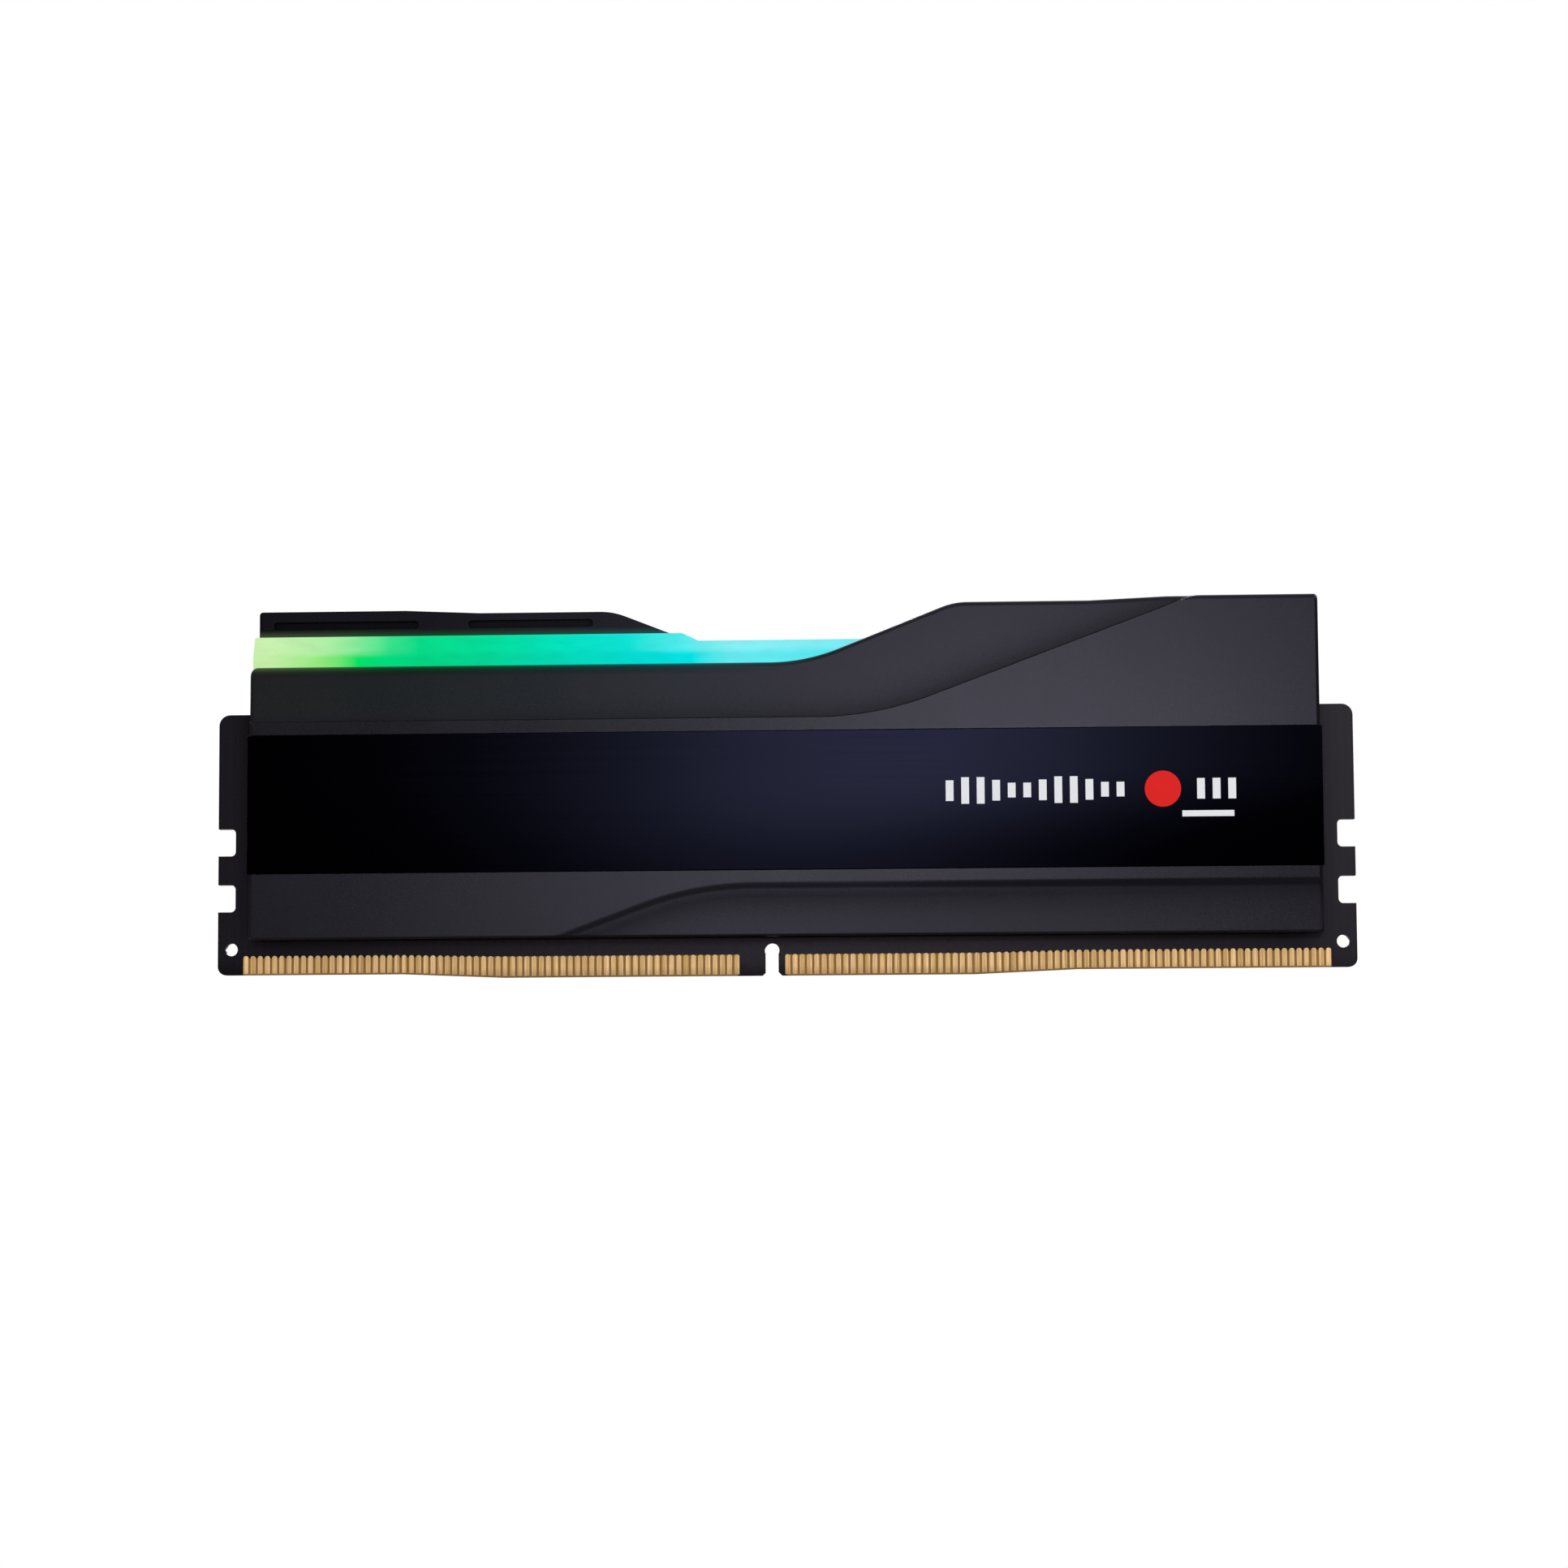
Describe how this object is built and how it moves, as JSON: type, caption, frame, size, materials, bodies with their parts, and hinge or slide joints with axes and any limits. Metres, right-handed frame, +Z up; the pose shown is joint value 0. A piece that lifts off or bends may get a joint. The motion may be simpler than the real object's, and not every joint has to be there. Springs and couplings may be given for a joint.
{
  "type": "desktop memory module",
  "caption": "Desktop memory module: contact-edge board between two stepped aluminium heat spreaders, with brushed insert strips and a lit diffuser bar along the top.",
  "frame": {"origin": "middle of the board's contact edge, on the mid-plane of the board, at the height of the edge's lowest stretch", "axes": "+X along the module, left to right seen from the front; the front spreader faces -Y; +Z up, away from the socket"},
  "size_m": [0.1334, 0.0081, 0.0439],
  "materials": {
    "board_mask": "black solder mask over glass-epoxy laminate, semi-gloss",
    "contact_gold": "hard gold plating, satin",
    "chip_resin": "moulded black epoxy, fine matt texture",
    "ferrite": "pressed ferrite powder, matt grey",
    "capacitor_ceramic": "fired ceramic with tinned end caps",
    "resistor_film": "glass-coated film resistor, black",
    "led_lens": "clear silicone lens in a white cup",
    "thermal_pad": "soft grey thermally conductive silicone",
    "spreader_coat": "dark charcoal anodised and bead-blasted, fine satin grain",
    "adhesive_film": "clear double-sided film",
    "brushed_black": "black anodised, brushed along the length",
    "light_diffuser": "milky translucent diffuser, lit from below, lime to green to cyan to violet along its length",
    "foam_tape": "thin black foam tape",
    "print_white": "screen-printed white ink",
    "print_red": "screen-printed red ink",
    "label_film": "blank silver polyester label"
  },
  "bodies": {
    "root": {"pcb": "board_mask", "edge_contacts_front": "contact_gold", "edge_contacts_rear": "contact_gold", "dram_chip_1": "chip_resin", "dram_chip_2": "chip_resin", "dram_chip_3": "chip_resin", "dram_chip_4": "chip_resin", "dram_chip_5": "chip_resin", "dram_chip_6": "chip_resin", "dram_chip_7": "chip_resin", "dram_chip_8": "chip_resin", "power_chip": "chip_resin", "spd_hub_chip": "chip_resin", "led_driver_chip": "chip_resin", "power_inductors": "ferrite", "bulk_capacitors": "capacitor_ceramic", "decoupling_capacitors": "capacitor_ceramic", "bus_resistors": "resistor_film", "rgb_leds": "led_lens", "dram_pad_left": "thermal_pad", "dram_pad_right": "thermal_pad", "power_pad": "thermal_pad", "rear_pad": "thermal_pad", "heatspreader_front": "spreader_coat", "heatspreader_rear": "spreader_coat", "strip_adhesive_front": "adhesive_film", "strip_adhesive_rear": "adhesive_film", "insert_strip_front": "brushed_black", "insert_strip_rear": "brushed_black", "light_bar": "light_diffuser", "light_bar_tape_front": "foam_tape", "light_bar_tape_rear": "foam_tape", "mark_white_front": "print_white", "mark_white_rear": "print_white", "mark_red_front": "print_red", "mark_red_rear": "print_red", "rear_label": "label_film"}
  },
  "joints": []
}
